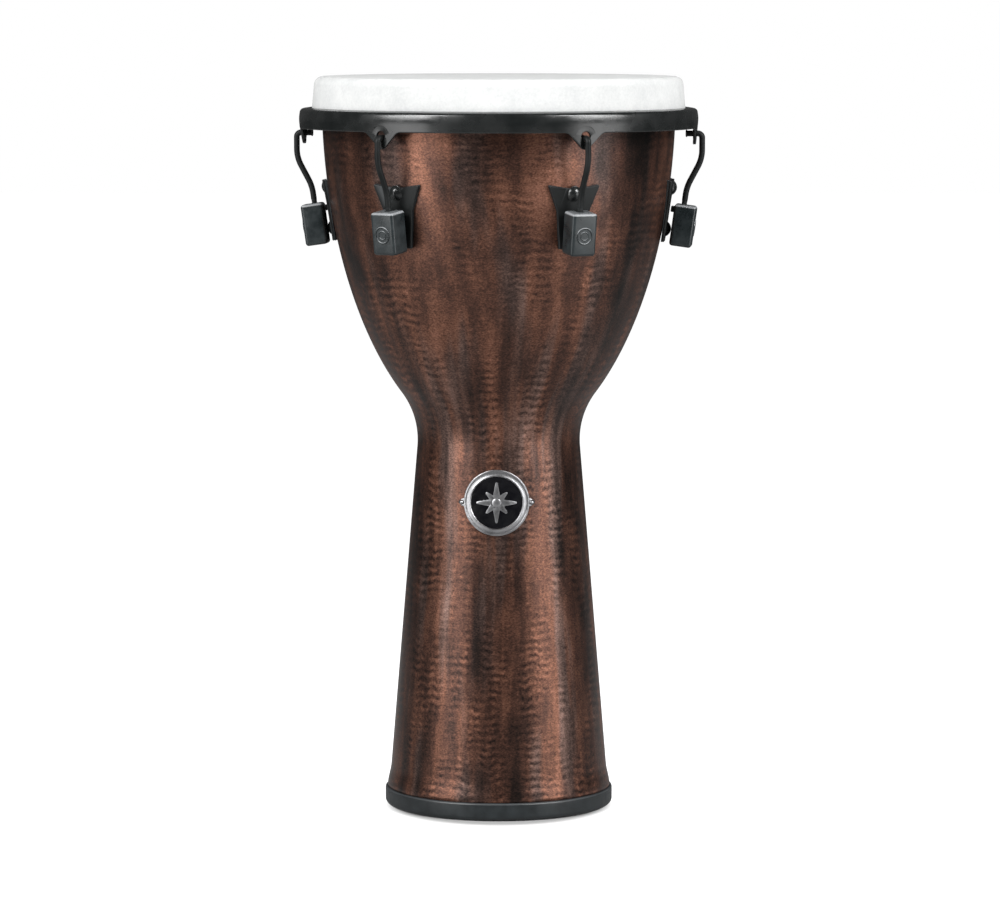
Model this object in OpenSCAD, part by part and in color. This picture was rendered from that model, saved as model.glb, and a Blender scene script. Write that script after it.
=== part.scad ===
// A rod-tuned djembe: a goblet shell on a rubber foot ring, with a moulded head that a steel
// counterhoop pulls down by six hooked rods. Each rod ends in a nut under a lug on the shell.
// Millimetres, +Z up. The origin is the centre of the foot on the floor, and -Y is the front.

/* [Shell] */
// Height from the floor to the playing surface
drum_h = 625; // [610:5:640]
// Wall thickness of the shell
wall_t = 6; // [5:0.5:7]
// Depth of the bowl's ellipse below its widest level
bowl_depth = 305; // [300:1:310]
// Radius of the leg's cone where it would meet the floor
leg_foot_r = 95.5; // [94:0.5:97]
// How much the leg's radius shrinks for each millimetre of height
leg_taper = 0.0832; // [0.08:0.0004:0.086]
// Radius of the hollow curve that joins the bowl to the leg
neck_fillet_r = 68; // [62:1:74]

/* [Head] */
// Outside diameter of the head's collar
head_d = 317.5; // [316:0.5:319]
// Thickness of the moulded film
film_t = 0.8; // [0.6:0.1:1]
// Radius of the crown between the playing surface and the collar
crown_r = 7.4; // [7:0.1:8]

/* [Counterhoop] */
// Height of the counterhoop's band, without its ears
band_h = 16.7; // [15:0.1:18]
// Thickness of the hoop's steel
hoop_t = 2.6; // [2.2:0.1:3]
// Depth of each ear below the band
ear_drop = 13.8; // [13:0.1:15]
// Radius of the rounded tip of an ear
ear_tip_r = 5.5; // [5:0.1:6]

/* [Tuning gear] */
// Azimuth of the first lug, from the front and towards +X
lug_azimuth = -35; // [-40:1:-20]
// Diameter of the tuning rods
rod_d = 5; // [4.6:0.1:5.2]
// Steepest lean of the rod's S-curve
rod_s_lean = 28; // [27:0.5:29]
// Lean of the rod's threaded end and of the lug, in degrees from upright
rod_lean = 8; // [7.5:0.1:8.5]
// Width across the flats of a tuning nut
nut_af = 10; // [9:0.5:11]
// Width of the rubber boot on each lug
boot_w = 22.5; // [21:0.5:24]
// Depth of the rubber boot, from front to back
boot_d = 19; // [18:0.5:20]
// Height of the rubber boot
boot_h = 35.5; // [34:0.5:37]

/* [Foot ring] */
// Outside radius of the rubber ring
ring_r = 97.7; // [97:0.1:99]
// Height of the rubber ring
ring_h = 15.4; // [14.5:0.1:15.4]

/* [Badge] */
// Height of the badge's centre above the floor
badge_z = 268; // [240:1:275]
// Diameter of the badge
badge_d = 55.6; // [50:0.2:58]
// Diameter of the dark disc inside the badge's rim
insert_d = 43.4; // [40:0.2:46]

/* [Hidden] */
lugs = 6;
$fn = 64;

// The bowl is half an ellipse, widest at bowl_z.
bowl_gap = 8;
bowl_r = head_d / 2 - bowl_gap;
bowl_z = drum_h - 15;
bowl_steps = 36;
neck_steps = 14;
edge_r = wall_t - 0.5;
film_clear = 0.1;
shell_top = drum_h - film_t - film_clear;

// The foot flares out just above the rubber ring, and is turned down where the ring grips it.
seat_z = 4;
seat_r = 94.6;
flare_top = 24;
flare_low = ring_h + 1.4;
flare_out = 1.7;

// The hoop's band leans outwards as it rises, and its flange presses on the flesh hoop.
hoop_top = drum_h - 27;
hoop_low = hoop_top - band_h;
hoop_out_low = head_d / 2 + 10.55;
hoop_lean = 0.09;
shoulder_r = 3.5;
flange_in = head_d / 2 + 0.55;
flange_rise = 0.8;
ear_side = 45;
ear_fillet = 8;
ear_hole_r = 4.1;
ear_hole_z = hoop_low - 3;
flesh_in = head_d / 2 + 0.6;
flesh_w = 6.4;
flesh_h = 9.6;
flesh_top = hoop_top - 3.3;

// The rod runs outwards through the ear, turns down, then follows an S-curve in to the lug.
rod_r = rod_d / 2;
peen_r = rod_r + 0.6;
peen_l = 1.5;
hook_z = ear_hole_z - ear_hole_r + rod_r + 0.1;
hook_in = head_d / 2 + 0.55;
hook_turn = 3.6;
hook_l = hoop_out_low + 0.4 - hook_in;
rod_out = hook_in + hook_l + hook_turn;
upright_l = 10.2;
upper_s_r = 30;
middle_l = 13.8;
lower_s_r = 36;
s_end_r = rod_out - upper_s_r * (1 - cos(rod_s_lean)) - middle_l * sin(rod_s_lean)
    - lower_s_r * (cos(rod_lean) - cos(rod_s_lean));
s_end_z = hook_z - hook_turn - upright_l - upper_s_r * sin(rod_s_lean) - middle_l * cos(rod_s_lean)
    - lower_s_r * (sin(rod_s_lean) - sin(rod_lean));
rod_below_lug = 22;
// Straights and bends lap by this much, and the bends are this much thinner, so that they join.
lap = 0.3;
skim = 0.1;

// The lug's own frame has its origin on the rod's axis, at mid height of the lug's shelf.
lug_z = drum_h - 113.5;
lug_r = s_end_r - (s_end_z - lug_z) * tan(rod_lean);
shelf_t = 5;
shelf_w = 14;
shelf_out = 7.8;
plate_t = 2;
plate_x = bowl_radius(lug_z) + 2.8 - lug_r;
plate_up = 28.8;
wing_up = 25;
bolt_r = 3;
bolt_z = 17.7;
bolt_head_r = 6.5;
bolt_head_h = 4;
washer_t = 1.2;
nut_h = 8;
nut_bore_r = rod_r + 0.7;
boot_low = shelf_t / 2 + 2.5 - boot_h;
boot_out = 11.3;
boot_wall = 3;

// Inside the shell each bolt has a large washer and a lock nut.
backing_r = 9;
backing_t = 1.5;
lock_nut_h = 6;
lock_nut_af = 10;

// The badge follows the leg's cone, and its two ears are nailed on.
badge_azimuth = -1.4;
badge_t = 1.8;
disc_t = 0.9;
badge_ear_w = 8;
badge_ear_out = badge_d / 2 + 4.5;
pin_r = 2.1;

// ---------- curves ----------

function unit(v) = v / norm(v);
function arc(centre, r, from, to, n) =
    [for (k = [0 : n]) let(a = from + (to - from) * k / n) centre + r * [cos(a), sin(a)]];
function flipped(points) = [for (k = [len(points) - 1 : -1 : 0]) points[k]];
function smooth(u) = u * u * (3 - 2 * u);

// Outside radius of the bowl at height z
function bowl_radius(z) = bowl_r * sqrt(1 - pow((bowl_z - z) / bowl_depth, 2));
// Point and outward direction on the bowl's ellipse, t degrees below its widest level
function bowl_at(t) = [bowl_r * cos(t), bowl_z - bowl_depth * sin(t)];
function bowl_normal(t) = unit([cos(t) / bowl_r, -sin(t) / bowl_depth]);
// Outside radius of the leg at height z
function leg_radius(z) = leg_foot_r - leg_taper * z;
leg_normal = unit([1, leg_taper]);

// The neck's arc touches both the bowl and the leg: its centre is neck_fillet_r from each.
function neck_centre(t) = bowl_at(t) + neck_fillet_r * bowl_normal(t);
function leg_distance(p) = (p - [leg_foot_r, 0]) * leg_normal;
function neck_angle(low, high, n) =
    let(mid = (low + high) / 2)
    n == 0 ? mid
    : leg_distance(neck_centre(mid)) > neck_fillet_r ? neck_angle(mid, high, n - 1)
    : neck_angle(low, mid, n - 1);
neck_t = neck_angle(0, 89, 40);
neck_from = atan2(-bowl_normal(neck_t)[1], -bowl_normal(neck_t)[0]);
neck_to = 180 + atan(leg_taper);

// The wall's outline from the bowl's widest level down to the leg, moved inwards by inset
function wall_line(inset) = concat(
    [for (k = [0 : bowl_steps])
        let(t = neck_t * k / bowl_steps) bowl_at(t) - inset * bowl_normal(t)],
    arc(neck_centre(neck_t), neck_fillet_r + inset, neck_from, neck_to, neck_steps)
);

// ---------- placing ----------

// Turns its children, which point along +X, to lug i.
module at_lug(i) {
    rotate([0, 0, lug_azimuth + (i - 1) * 360 / lugs - 90]) children();
}

// Moves its children into the lug's own frame: +X away from the shell, +Z up the rod.
module lug_frame() {
    translate([lug_r, 0, lug_z]) rotate([0, rod_lean, 0]) children();
}

// Places its children on the axis of each of a lug's two bolts, with +Z out of the shell.
module at_bolts() {
    for (z = [-bolt_z, bolt_z]) translate([0, 0, z]) rotate([0, 90, 0]) children();
}

// Distance along a bolt's axis from the lug's frame to just inside the shell's leaning wall
function inside_x(z) =
    let(level = lug_z + (wall_t - plate_x) * sin(rod_lean) + z * cos(rod_lean))
    let(through = 1.03 * wall_t, clear = 0.5)
    (bowl_radius(level) - through - lug_r - z * sin(rod_lean)) / cos(rod_lean) - clear;

module hexagon(af, h, bore) {
    difference() {
        cylinder(r = af / 2 / cos(30), h = h, $fn = 6);
        translate([0, 0, -1]) cylinder(r = bore, h = h + 2);
    }
}

module ring(outer, inner, h) {
    difference() {
        cylinder(r = outer, h = h);
        translate([0, 0, -1]) cylinder(r = inner, h = h + 2);
    }
}

// ---------- shell and foot ----------

module shell_profile() {
    flare = [for (z = [flare_top : -1.2 : flare_low])
        [leg_radius(z) + flare_out * smooth((flare_top - z) / (flare_top - flare_low)), z]];
    flare_r = leg_radius(flare_low) + flare_out;
    inside = wall_line(wall_t);
    polygon(concat(
        arc([bowl_r - edge_r, shell_top - edge_r], edge_r, 90, 0, 6),
        wall_line(0),
        flare,
        [[flare_r, ring_h + 0.2], [seat_r, ring_h + 0.2], [seat_r, seat_z]],
        [[leg_radius(seat_z) - wall_t / leg_normal[0], seat_z]],
        flipped(inside),
        [[bowl_r - wall_t, shell_top]]
    ));
}

module shell() {
    color("sienna") difference() {
        rotate_extrude() shell_profile();
        for (i = [1 : lugs]) at_lug(i) lug_frame() at_bolts() {
            translate([0, 0, plate_x - 5 * wall_t]) cylinder(r = bolt_r + 0.4, h = 5 * wall_t);
        }
    }
}

module foot_ring() {
    lip_r = 88;
    inner_r = 85.4;
    lip_h = ring_h - 2;
    color("dimgray") rotate_extrude() polygon(concat(
        arc([inner_r + 1, 1], 1, 180, 270, 4),
        arc([ring_r - 3, 3], 3, -90, 0, 6),
        arc([ring_r - 2.4, ring_h - 2], 2, 0, 90, 5),
        [[seat_r + 0.1, ring_h], [seat_r + 0.1, seat_z - 0.1], [lip_r, seat_z - 0.1]],
        arc([(lip_r + inner_r) / 2, lip_h], (lip_r - inner_r) / 2, 0, 180, 6)
    ));
}

// ---------- head and hoops ----------

module drumhead() {
    collar_r = head_d / 2;
    flat_r = collar_r - 1.6 - crown_r;
    shoulder = drum_h - 25;
    low = drum_h - 40;
    centre = [flat_r, drum_h - crown_r];
    color("white") rotate_extrude() polygon(concat(
        [[0, drum_h]],
        arc(centre, crown_r, 90, 0, 8),
        [[collar_r, shoulder], [collar_r, low], [collar_r - film_t, low]],
        [[collar_r - film_t, shoulder]],
        arc(centre, crown_r - film_t, 0, 90, 8),
        [[0, drum_h - film_t]]
    ));
}

// An aluminium channel that holds the rim of the film
module flesh_hoop() {
    wall = 1.6;
    color("silver") translate([0, 0, flesh_top - flesh_h]) rotate_extrude() difference() {
        translate([flesh_in, 0]) square([flesh_w, flesh_h]);
        translate([flesh_in + wall, wall]) square([flesh_w - 2 * wall, flesh_h]);
    }
}

function hoop_out(z) = hoop_out_low + hoop_lean * (z - hoop_low);

module band_profile() {
    turn_z = hoop_top - shoulder_r;
    turn_r = hoop_out(turn_z) - shoulder_r;
    inner_r = hoop_out(turn_z) - hoop_t;
    polygon(concat(
        [[hoop_out(hoop_low) - hoop_t, hoop_low], [hoop_out(hoop_low), hoop_low]],
        arc([turn_r, turn_z], shoulder_r, 0, 90, 8),
        arc([flange_in + hoop_t / 2, hoop_top + flange_rise - hoop_t / 2], hoop_t / 2, 80, 260, 6),
        [[inner_r - 1.2, hoop_top - hoop_t], [inner_r, hoop_top - hoop_t - 1.2]]
    ));
}

// Outline of an ear, with y across and z up, that runs up into the band
module ear_outline() {
    tip_z = hoop_low - ear_drop + ear_tip_r;
    tip = arc([0, tip_z], ear_tip_r, -90, ear_side - 90, 4);
    rise = hoop_low - tip_z + ear_tip_r * sin(ear_side);
    fillet_y = ear_tip_r * cos(ear_side) + rise / tan(ear_side) + ear_fillet * tan(ear_side / 2);
    side = concat(
        tip,
        arc([fillet_y, hoop_low - ear_fillet], ear_fillet, 90 + ear_side, 90, 5),
        [[fillet_y, hoop_low + 2]]
    );
    polygon(concat(side, [for (p = flipped(side)) [-p[0], p[1]]]));
}

// The cone that the ears are cut from, a little thinner than the band on both faces
module ear_skirt() {
    skin = 0.05;
    low = hoop_low - ear_drop - 1;
    high = hoop_low + 3;
    rotate_extrude() polygon([
        [hoop_out(low) - hoop_t + skin, low], [hoop_out(low) - skin, low],
        [hoop_out(high) - skin, high], [hoop_out(high) - hoop_t + skin, high]
    ]);
}

module counterhoop() {
    cut_from = head_d / 2 - 9;
    cut_l = 30;
    color("dimgray") difference() {
        union() {
            rotate_extrude() band_profile();
            intersection() {
                ear_skirt();
                for (i = [1 : lugs]) at_lug(i) translate([cut_from, 0, 0]) {
                    rotate([90, 0, 90]) linear_extrude(cut_l) ear_outline();
                }
            }
        }
        for (i = [1 : lugs]) at_lug(i) translate([cut_from, 0, ear_hole_z]) {
            rotate([0, 90, 0]) cylinder(r = ear_hole_r, h = cut_l);
        }
    }
}

// ---------- tuning gear ----------

// A straight length along +X, lapped into its neighbours, and then its children at the far end
module straight(l) {
    translate([-lap, 0, 0]) rotate([0, 90, 0]) cylinder(r = rod_r, h = l + 2 * lap);
    translate([l, 0, 0]) children();
}

// A bend of radius r that turns down by the angle turn, and then its children at the far end
module bend_down(r, turn) {
    translate([0, 0, -r]) {
        rotate([90, 90, 0]) mirror([1, 0, 0]) rotate_extrude(angle = turn) {
            translate([r, 0]) circle(r = rod_r - skim);
        }
        rotate([0, turn, 0]) translate([0, 0, r]) children();
    }
}

// A bend of radius r that turns up by the angle turn, and then its children at the far end
module bend_up(r, turn) {
    mirror([0, 0, 1]) bend_down(r, turn) mirror([0, 0, 1]) children();
}

module tuning_rod(i) {
    end_l = (s_end_z - lug_z) / cos(rod_lean) + rod_below_lug;
    color("dimgray") at_lug(i) translate([hook_in, 0, hook_z]) {
        rotate([0, 90, 0]) cylinder(r = peen_r, h = peen_l);
        straight(hook_l) bend_down(hook_turn, 90) straight(upright_l)
            bend_down(upper_s_r, rod_s_lean) straight(middle_l)
            bend_up(lower_s_r, rod_s_lean - rod_lean) straight(end_l);
    }
}

module tuning_nut(i) {
    color("silver") at_lug(i) lug_frame() {
        translate([0, 0, -shelf_t / 2 - washer_t - 0.4 - nut_h]) hexagon(nut_af, nut_h, nut_bore_r);
    }
}

module nut_washers() {
    color("silver") for (i = [1 : lugs]) at_lug(i) lug_frame() {
        translate([0, 0, -shelf_t / 2 - washer_t - 0.1]) ring(6, nut_bore_r, washer_t);
    }
}

// Outline of the lug's plate, with y across and z up: two wings above a narrow stem
module plate_outline() {
    half = [[10.7, -plate_up], [14.3, 2.5], [23.4, wing_up], [8, wing_up - 2.2], [5, wing_up - 2.7]];
    offset(r = 1.2, $fn = 24) offset(delta = -1.2) {
        polygon(concat(half, [for (p = flipped(half)) [-p[0], p[1]]]));
    }
}

module lug_bracket(i) {
    tip_r = shelf_w / 2 - 1;
    color("dimgray") at_lug(i) lug_frame() difference() {
        union() {
            translate([plate_x - plate_t, 0, 0]) rotate([90, 0, 90]) {
                linear_extrude(plate_t) plate_outline();
            }
            translate([plate_x - plate_t / 2, -shelf_w / 2, -shelf_t / 2]) {
                cube([shelf_out - tip_r - plate_x + plate_t / 2, shelf_w, shelf_t]);
            }
            translate([shelf_out - tip_r, 0, -shelf_t / 2]) {
                cylinder(r = tip_r, h = shelf_t);
            }
        }
        translate([0, 0, -shelf_t]) cylinder(r = nut_bore_r + 0.2, h = 2 * shelf_t);
        at_bolts() translate([0, 0, plate_x - 2 * plate_t]) cylinder(r = bolt_r + 0.2, h = 3 * plate_t);
    }
}

// A rubber cap over the nut, open towards the shell so that it pushes on over the shelf
module lug_boot(i) {
    corner = 2;
    inner_x = boot_out - boot_d;
    half_w = boot_w / 2;
    slot_r = nut_bore_r + 0.3;
    cavity_w = shelf_w + 0.8;
    cavity_top = shelf_t / 2 + 0.3;
    color("darkslategray") at_lug(i) lug_frame() difference() {
        translate([0, 0, boot_low]) linear_extrude(boot_h) polygon(concat(
            arc([boot_out - corner, half_w - corner], corner, 0, 90, 5),
            arc([inner_x + corner, half_w - corner], corner, 90, 180, 5),
            arc([inner_x + corner, corner - half_w], corner, 180, 270, 5),
            arc([boot_out - corner, corner - half_w], corner, 270, 360, 5)
        ));
        translate([inner_x - 1, -cavity_w / 2, boot_low + boot_wall]) {
            cube([boot_d + 1 - boot_wall, cavity_w, cavity_top - boot_low - boot_wall]);
        }
        cylinder(r = slot_r, h = shelf_t + 5);
        translate([inner_x - 1, -slot_r, 0]) cube([1 - inner_x, 2 * slot_r, shelf_t + 5]);
    }
}

// Rubber pads between the flat plates and the round shell. Each pad's back is a run of flats that
// follows the shell around.
module lug_gaskets() {
    thinnest = 0.3;
    depth = 4;
    half_turn = 12;
    round_r = bowl_radius(lug_z) / cos(rod_lean);
    back = plate_x - plate_t - thinnest;
    color("black") for (i = [1 : lugs]) at_lug(i) lug_frame() difference() {
        translate([back - depth, 0, 0]) rotate([90, 0, 90]) {
            linear_extrude(depth + thinnest) plate_outline();
        }
        translate([back - round_r, 0, -2 * plate_up]) linear_extrude(4 * plate_up) {
            polygon(concat([[0, 0]], arc([0, 0], round_r, -half_turn, half_turn, half_turn)));
        }
        at_bolts() translate([0, 0, back - depth]) cylinder(r = bolt_r + 0.3, h = 3 * depth);
    }
}

module lug_bolts() {
    dome_r = (bolt_head_r * bolt_head_r + bolt_head_h * bolt_head_h) / 2 / bolt_head_h;
    dome_edge = acos(bolt_head_r / dome_r);
    color("dimgray") for (i = [1 : lugs]) at_lug(i) lug_frame() for (z = [-bolt_z, bolt_z]) {
        shank_l = plate_x - inside_x(z) + backing_t + lock_nut_h + 2;
        translate([plate_x + 0.02, 0, z]) rotate([0, 90, 0]) rotate_extrude() polygon(concat(
            [[0, -shank_l], [bolt_r, -shank_l], [bolt_r, 0]],
            arc([0, bolt_head_h - dome_r], dome_r, dome_edge, 90, 8)
        ));
    }
}

module backing_washers() {
    color("silver") for (i = [1 : lugs]) at_lug(i) lug_frame() for (z = [-bolt_z, bolt_z]) {
        translate([inside_x(z) - backing_t, 0, z]) rotate([0, 90, 0]) {
            ring(backing_r, bolt_r + 0.2, backing_t);
        }
    }
}

module lock_nuts() {
    color("silver") for (i = [1 : lugs]) at_lug(i) lug_frame() for (z = [-bolt_z, bolt_z]) {
        translate([inside_x(z) - backing_t - 0.1 - lock_nut_h, 0, z]) rotate([0, 90, 0]) {
            hexagon(lock_nut_af, lock_nut_h, bolt_r + 0.05);
        }
    }
}

// ---------- badge ----------

// A band that follows the leg's cone around the badge, between two distances from its surface
module leg_band(from, to) {
    low = badge_z - badge_d / 2 - 2;
    high = badge_z + badge_d / 2 + 2;
    rotate_extrude() polygon([
        [leg_radius(low) + from, low], [leg_radius(low) + to, low],
        [leg_radius(high) + to, high], [leg_radius(high) + from, high]
    ]);
}

// Turns its children, which point along +X at the height of the badge, to the front.
module at_badge() {
    rotate([0, 0, badge_azimuth - 90]) translate([0, 0, badge_z]) children();
}

module badge_rim() {
    reach = leg_radius(badge_z) + 20;
    color("silver") intersection() {
        leg_band(0.1, badge_t);
        at_badge() difference() {
            union() {
                rotate([0, 90, 0]) cylinder(r = badge_d / 2, h = reach);
                translate([0, -badge_ear_out, -badge_ear_w / 2]) {
                    cube([reach, 2 * badge_ear_out, badge_ear_w]);
                }
            }
            rotate([0, 90, 0]) cylinder(r = insert_d / 2 + 0.1, h = reach + 1);
        }
    }
}

module badge_disc() {
    reach = leg_radius(badge_z) + 20;
    color("black") intersection() {
        leg_band(0.1, disc_t);
        at_badge() rotate([0, 90, 0]) cylinder(r = insert_d / 2, h = reach);
    }
}

module badge_pins() {
    turn = asin((badge_ear_out - 2.3) / (leg_radius(badge_z) + badge_t));
    color("silver") for (side = [-turn, turn]) rotate([0, 0, side]) at_badge() {
        translate([leg_radius(badge_z) + badge_t + 0.1, 0, 0]) rotate([0, 90 - atan(leg_taper), 0]) {
            rotate_extrude() polygon(concat([[0, 0]], arc([0, 0], pin_r, 0, 90, 6)));
        }
    }
}

// ---------- the drum ----------

shell();
foot_ring();
drumhead();
flesh_hoop();
counterhoop();
for (i = [1 : lugs]) {
    tuning_rod(i);
    tuning_nut(i);
    lug_bracket(i);
    lug_boot(i);
}
nut_washers();
lug_gaskets();
lug_bolts();
backing_washers();
lock_nuts();
badge_rim();
badge_disc();
badge_pins();
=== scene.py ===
"""The looks of a rod-tuned djembe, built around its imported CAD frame.

The drum's lengths are in millimetres, and MM turns them into metres where a mesh is made. Materials and
the studio are in metres. +Z is up and -Y is the front. An azimuth is in degrees from the front, and
positive towards +X.
"""

import math

import bmesh
import bpy
import numpy as np
from mathutils import Matrix, Vector


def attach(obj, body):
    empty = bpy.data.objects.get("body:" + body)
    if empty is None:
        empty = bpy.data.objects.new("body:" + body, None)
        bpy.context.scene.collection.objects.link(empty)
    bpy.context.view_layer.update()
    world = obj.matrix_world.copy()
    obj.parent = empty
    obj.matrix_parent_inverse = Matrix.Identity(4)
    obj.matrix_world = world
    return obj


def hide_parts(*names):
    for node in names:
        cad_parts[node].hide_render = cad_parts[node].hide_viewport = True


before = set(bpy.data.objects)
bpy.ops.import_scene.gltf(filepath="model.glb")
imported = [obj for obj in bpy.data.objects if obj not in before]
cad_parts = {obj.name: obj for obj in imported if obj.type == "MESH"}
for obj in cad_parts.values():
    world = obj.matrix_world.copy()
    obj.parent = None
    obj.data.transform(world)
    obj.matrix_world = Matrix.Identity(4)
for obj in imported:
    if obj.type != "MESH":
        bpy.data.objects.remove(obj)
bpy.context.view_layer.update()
scene = bpy.context.scene

MM = 0.001

# Lug 1 stands at LUG_AZIMUTH, and the others follow it around at equal steps
LUGS = 6
LUG_AZIMUTH = -35

DRUM_H = 625
HEAD_R = 158.75
WALL = 6

# The bowl follows an ellipse whose middle is at BOWL_Z, down to NECK_T degrees below that level. The leg
# is a cone, and an arc of radius NECK_R joins them.
BOWL_R = 150.75
BOWL_Z = 610
BOWL_DEPTH = 305
LEG_FOOT_R = 95.5
LEG_TAPER = 0.0832
NECK_R = 68
NECK_T = 56.549

# The counterhoop's band leans outwards by HOOP_LEAN for each millimetre up, and an ear hangs at each lug
HOOP_TOP = 598
HOOP_LOW = 581.3
HOOP_OUT = 169.3
HOOP_LEAN = 0.09
HOOP_T = 2.6
EAR_DROP = 13.8
EAR_TIP_R = 5.5
EAR_FILLET = 8
EAR_HOLE_R = 4.1
EAR_HOLE_Z = 578.3

# A rod starts inside the hoop at HOOK_IN and turns down at ROD_OUT. On its way down it leans in by
# ROD_S_LEAN degrees, and at its lug by ROD_LEAN
ROD_R = 2.5
ROD_LEAN = 8
ROD_S_LEAN = 28
HOOK_IN = 159.3
HOOK_Z = 576.8
HOOK_TURN = 3.6
ROD_OUT = 173.3

# A rod's axis crosses the middle of its lug's shelf at LUG_R and LUG_Z. The front of the lug's plate is
# at PLATE_X from there, and its bolts are BOLT_Z above and below
LUG_R = 157.571
LUG_Z = 511.5
PLATE_X = -12.099
PLATE_T = 2
BOLT_Z = 17.7

# The badge's middle, and BADGE_SEAT, the small gap between the badge and the leg
BADGE_Z = 268
BADGE_AZIMUTH = -1.4
BADGE_SEAT = 0.12

# The level at which the figure's noise is cut, which sets the place of each streak
FIGURE_SLICE = 1.2


# ---------- points ----------

def arc(x, z, r, start, end, steps):
    """Points on an arc around (x, z), in degrees."""
    angles = [math.radians(start + (end - start) * k / steps) for k in range(steps + 1)]
    return [(x + r * math.cos(a), z + r * math.sin(a)) for a in angles]


def line(a, b, steps):
    """Points from a to b, without b."""
    return [tuple(p + (q - p) * k / steps for p, q in zip(a, b)) for k in range(steps)]


def smooth_step(u):
    """Eases from 0 to 1 while u goes from 0 to 1."""
    u = min(max(u, 0), 1)
    return u * u * (3 - 2 * u)


def leg_radius(z):
    return LEG_FOOT_R - LEG_TAPER * z


def bowl_at(t, inset=0):
    """The point t degrees below the bowl's widest level, moved into the wall by inset."""
    c, s = math.cos(math.radians(t)), math.sin(math.radians(t))
    normal = Vector((c / BOWL_R, -s / BOWL_DEPTH)).normalized()
    return BOWL_R * c - inset * normal.x, BOWL_Z - BOWL_DEPTH * s - inset * normal.y


def wall_line(inset, steps):
    """The wall's outline from the bowl's widest level down to the leg, moved inwards by inset."""
    x, z = bowl_at(NECK_T, -NECK_R)
    near_x, near_z = bowl_at(NECK_T)
    start = math.degrees(math.atan2(near_z - z, near_x - x)) % 360
    end = 180 + math.degrees(math.atan(LEG_TAPER))
    bowl = [bowl_at(NECK_T * k / steps, inset) for k in range(steps)]
    return bowl + arc(x, z, NECK_R + inset, start, end, steps // 2)


# ---------- meshes ----------

def solid(points, faces):
    """A closed mesh of these points in millimetres, doubled points merged and normals facing out."""
    bm = bmesh.new()
    verts = [bm.verts.new(Vector(p) * MM) for p in points]
    for face in faces:
        bm.faces.new([verts[k] for k in face])
    bmesh.ops.remove_doubles(bm, verts=bm.verts, dist=1e-7)
    bmesh.ops.delete(bm, geom=[e for e in bm.edges if not e.link_faces], context="EDGES")
    bmesh.ops.recalc_face_normals(bm, faces=bm.faces)
    return to_mesh(bm)


def to_mesh(bm):
    mesh = bpy.data.meshes.new("part")
    bm.to_mesh(mesh)
    bm.free()
    return mesh


def loft(rings, wrap=False):
    """A skin over closed rings of points, with its two ends capped unless it wraps round."""
    n = len(rings[0])
    points = [p for ring in rings for p in ring]
    faces = []
    for j in range(len(rings) if wrap else len(rings) - 1):
        a, b = j * n, (j + 1) % len(rings) * n
        faces += [(a + k, a + (k + 1) % n, b + (k + 1) % n, b + k) for k in range(n)]
    if not wrap:
        faces += [tuple(range(n)), tuple(range(len(points) - n, len(points)))]
    return solid(points, faces)


def revolve(profile, steps):
    """The closed outline profile, of (radius, height) points, turned around the Z axis."""
    turns = [2 * math.pi * k / steps for k in range(steps)]
    return loft([[(r * math.cos(a), r * math.sin(a), z) for r, z in profile] for a in turns], wrap=True)


def slab(outline, low, high, edge, steps=3):
    """A plate over an outline of (x, y) points, from low to high, with its edges rounded by edge."""
    n = len(outline)
    normals = []
    for k in range(n):
        before, after = Vector(outline[k - 1]), Vector(outline[(k + 1) % n])
        along = (after - before).normalized()
        normals.append(Vector((along.y, -along.x)))
    area = sum(a[0] * b[1] - b[0] * a[1] for a, b in zip(outline, outline[1:] + outline[:1]))
    side = 1 if area > 0 else -1
    levels = [(low + edge - z, r) for r, z in arc(0, 0, edge, 90, 0, steps)]
    levels += [(high - edge + z, r) for r, z in arc(0, 0, edge, 0, 90, steps)]
    rings = []
    for z, r in levels:
        shift = side * (r - edge)
        rings.append([(p[0] + shift * v.x, p[1] + shift * v.y, z) for p, v in zip(outline, normals)])
    return loft(rings)


def rounded(corners, r, steps=4):
    """The closed outline of these corners, each rounded to radius r."""
    out = []
    for k, corner in enumerate(corners):
        p = Vector(corner)
        a = (Vector(corners[k - 1]) - p).normalized()
        b = (Vector(corners[(k + 1) % len(corners)]) - p).normalized()
        half = a.angle(b) / 2
        centre = p + (a + b).normalized() * r / math.sin(half)
        start = p + a * r / math.tan(half) - centre
        end = p + b * r / math.tan(half) - centre
        for j in range(steps + 1):
            out.append(tuple(centre + start.slerp(end, j / steps)))
    return out


def rounded_box(low, high, r, segments):
    """A box between two corners, with all its edges rounded."""
    bm = bmesh.new()
    bmesh.ops.create_cube(bm, size=1)
    for v in bm.verts:
        v.co = Vector([(a + b) / 2 + c * (b - a) for a, b, c in zip(low, high, v.co)]) * MM
    bmesh.ops.bevel(bm, geom=bm.edges[:], offset=r * MM, segments=segments, profile=0.5, affect="EDGES")
    return to_mesh(bm)


def moved(mesh, matrix):
    """A copy of mesh moved by matrix, whose translation is in millimetres."""
    copy = mesh.copy()
    to_metres = matrix.copy()
    to_metres.translation = matrix.translation * MM
    copy.transform(to_metres)
    return copy


def joined(meshes):
    """One mesh that holds these meshes side by side."""
    bm = bmesh.new()
    for mesh in meshes:
        bm.from_mesh(mesh)
    return to_mesh(bm)


def combined(mesh, other, operation):
    """The union of two meshes, or the first one cut by the other."""
    objects = [bpy.data.objects.new("operand", m) for m in (mesh, other)]
    for obj in objects:
        scene.collection.objects.link(obj)
    change = objects[0].modifiers.new("combine", "BOOLEAN")
    change.operation = operation
    change.solver = "EXACT"
    change.object = objects[1]
    graph = bpy.context.evaluated_depsgraph_get()
    result = bpy.data.meshes.new_from_object(objects[0].evaluated_get(graph))
    for obj in objects:
        bpy.data.objects.remove(obj)
    return result


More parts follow.
